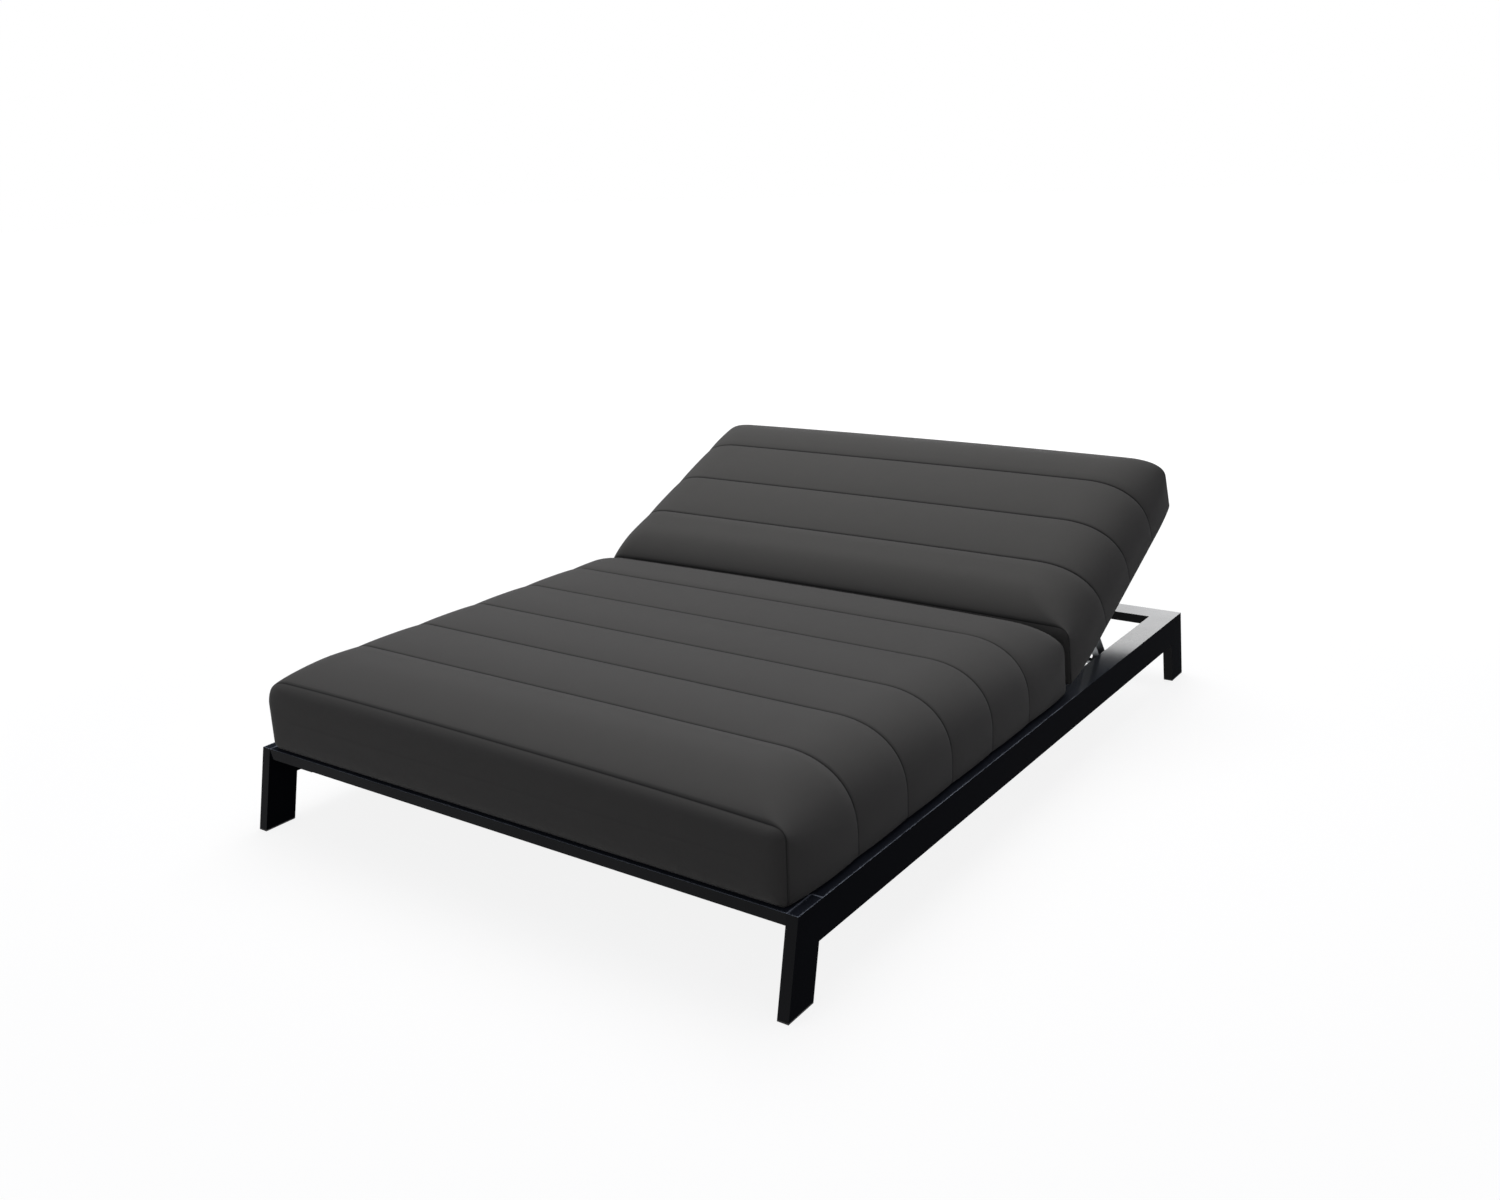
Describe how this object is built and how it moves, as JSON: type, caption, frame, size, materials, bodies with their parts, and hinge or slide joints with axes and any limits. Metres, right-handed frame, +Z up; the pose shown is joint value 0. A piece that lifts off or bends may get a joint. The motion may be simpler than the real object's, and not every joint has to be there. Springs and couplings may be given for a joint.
{
  "type": "double chaise lounger",
  "caption": "Low double chaise lounger for a patio: dark metal frame on splayed legs, thick channel-quilted seat cushion and a quilted reclining backrest held up by props.",
  "frame": {"origin": "on the floor, at the middle of the rectangle that the four legs span", "axes": "+X across the lounger, +Y from the foot end to the head end, +Z up"},
  "size_m": [1.5, 2.082, 0.6839],
  "materials": {
    "frame_metal": "near-black satin powder coat",
    "prop_metal": "satin grey metal",
    "steel_pin": "plain zinc plated",
    "black_plastic": "matte moulded",
    "black_rubber": "matte",
    "cushion_cloth": "smooth matte charcoal outdoor cloth"
  },
  "bodies": {
    "frame": {"side_rail_left": "frame_metal", "side_rail_right": "frame_metal", "foot_rail": "frame_metal", "head_rail": "frame_metal", "leg_foot_left": "frame_metal", "leg_foot_right": "frame_metal", "leg_head_left": "frame_metal", "leg_head_right": "frame_metal", "glide_foot_left": "black_plastic", "glide_foot_right": "black_plastic", "glide_head_left": "black_plastic", "glide_head_right": "black_plastic", "hinge_rail": "frame_metal", "seat_slat_1": "frame_metal", "seat_slat_2": "frame_metal", "seat_slat_3": "frame_metal", "seat_slat_4": "frame_metal", "seat_slat_5": "frame_metal", "hinge_bracket_left": "frame_metal", "hinge_bracket_right": "frame_metal", "hinge_pin_left": "steel_pin", "hinge_pin_right": "steel_pin", "stop_plate_left": "frame_metal", "stop_plate_right": "frame_metal", "stop_buffer_left": "black_rubber", "stop_buffer_right": "black_rubber", "rack_left": "prop_metal", "rack_right": "prop_metal", "seat_cushion": "cushion_cloth"},
    "backrest": {"back_stile_left": "frame_metal", "back_stile_right": "frame_metal", "back_rail_lower": "frame_metal", "back_rail_upper": "frame_metal", "back_slat_1": "frame_metal", "back_slat_2": "frame_metal", "back_slat_3": "frame_metal", "back_slat_4": "frame_metal", "hinge_washer_left": "black_plastic", "hinge_washer_right": "black_plastic", "prop_washer_left": "black_plastic", "prop_washer_right": "black_plastic", "prop_pin_left": "steel_pin", "prop_pin_right": "steel_pin", "back_cushion": "cushion_cloth"},
    "prop": {"prop_arm_left": "prop_metal", "prop_arm_right": "prop_metal", "prop_foot_left": "steel_pin", "prop_foot_right": "steel_pin", "prop_tie": "prop_metal"}
  },
  "joints": [
    {"name": "backrest_recline", "type": "hinge", "parent": "frame", "child": "backrest", "pos_m": [0, 0.236, 0.1825], "axis": [1, 0, 0], "range_deg": [-25.5, 4.5]},
    {"name": "prop_swing", "type": "hinge", "parent": "backrest", "child": "prop", "pos_m": [0, 0.50893, 0.30714], "axis": [1, 0, 0], "range_deg": [-14.5, 78.5]}
  ],
  "couplings": [
    {"joint": "prop_swing", "follows": "backrest_recline", "ratio": -3.0392}
  ]
}
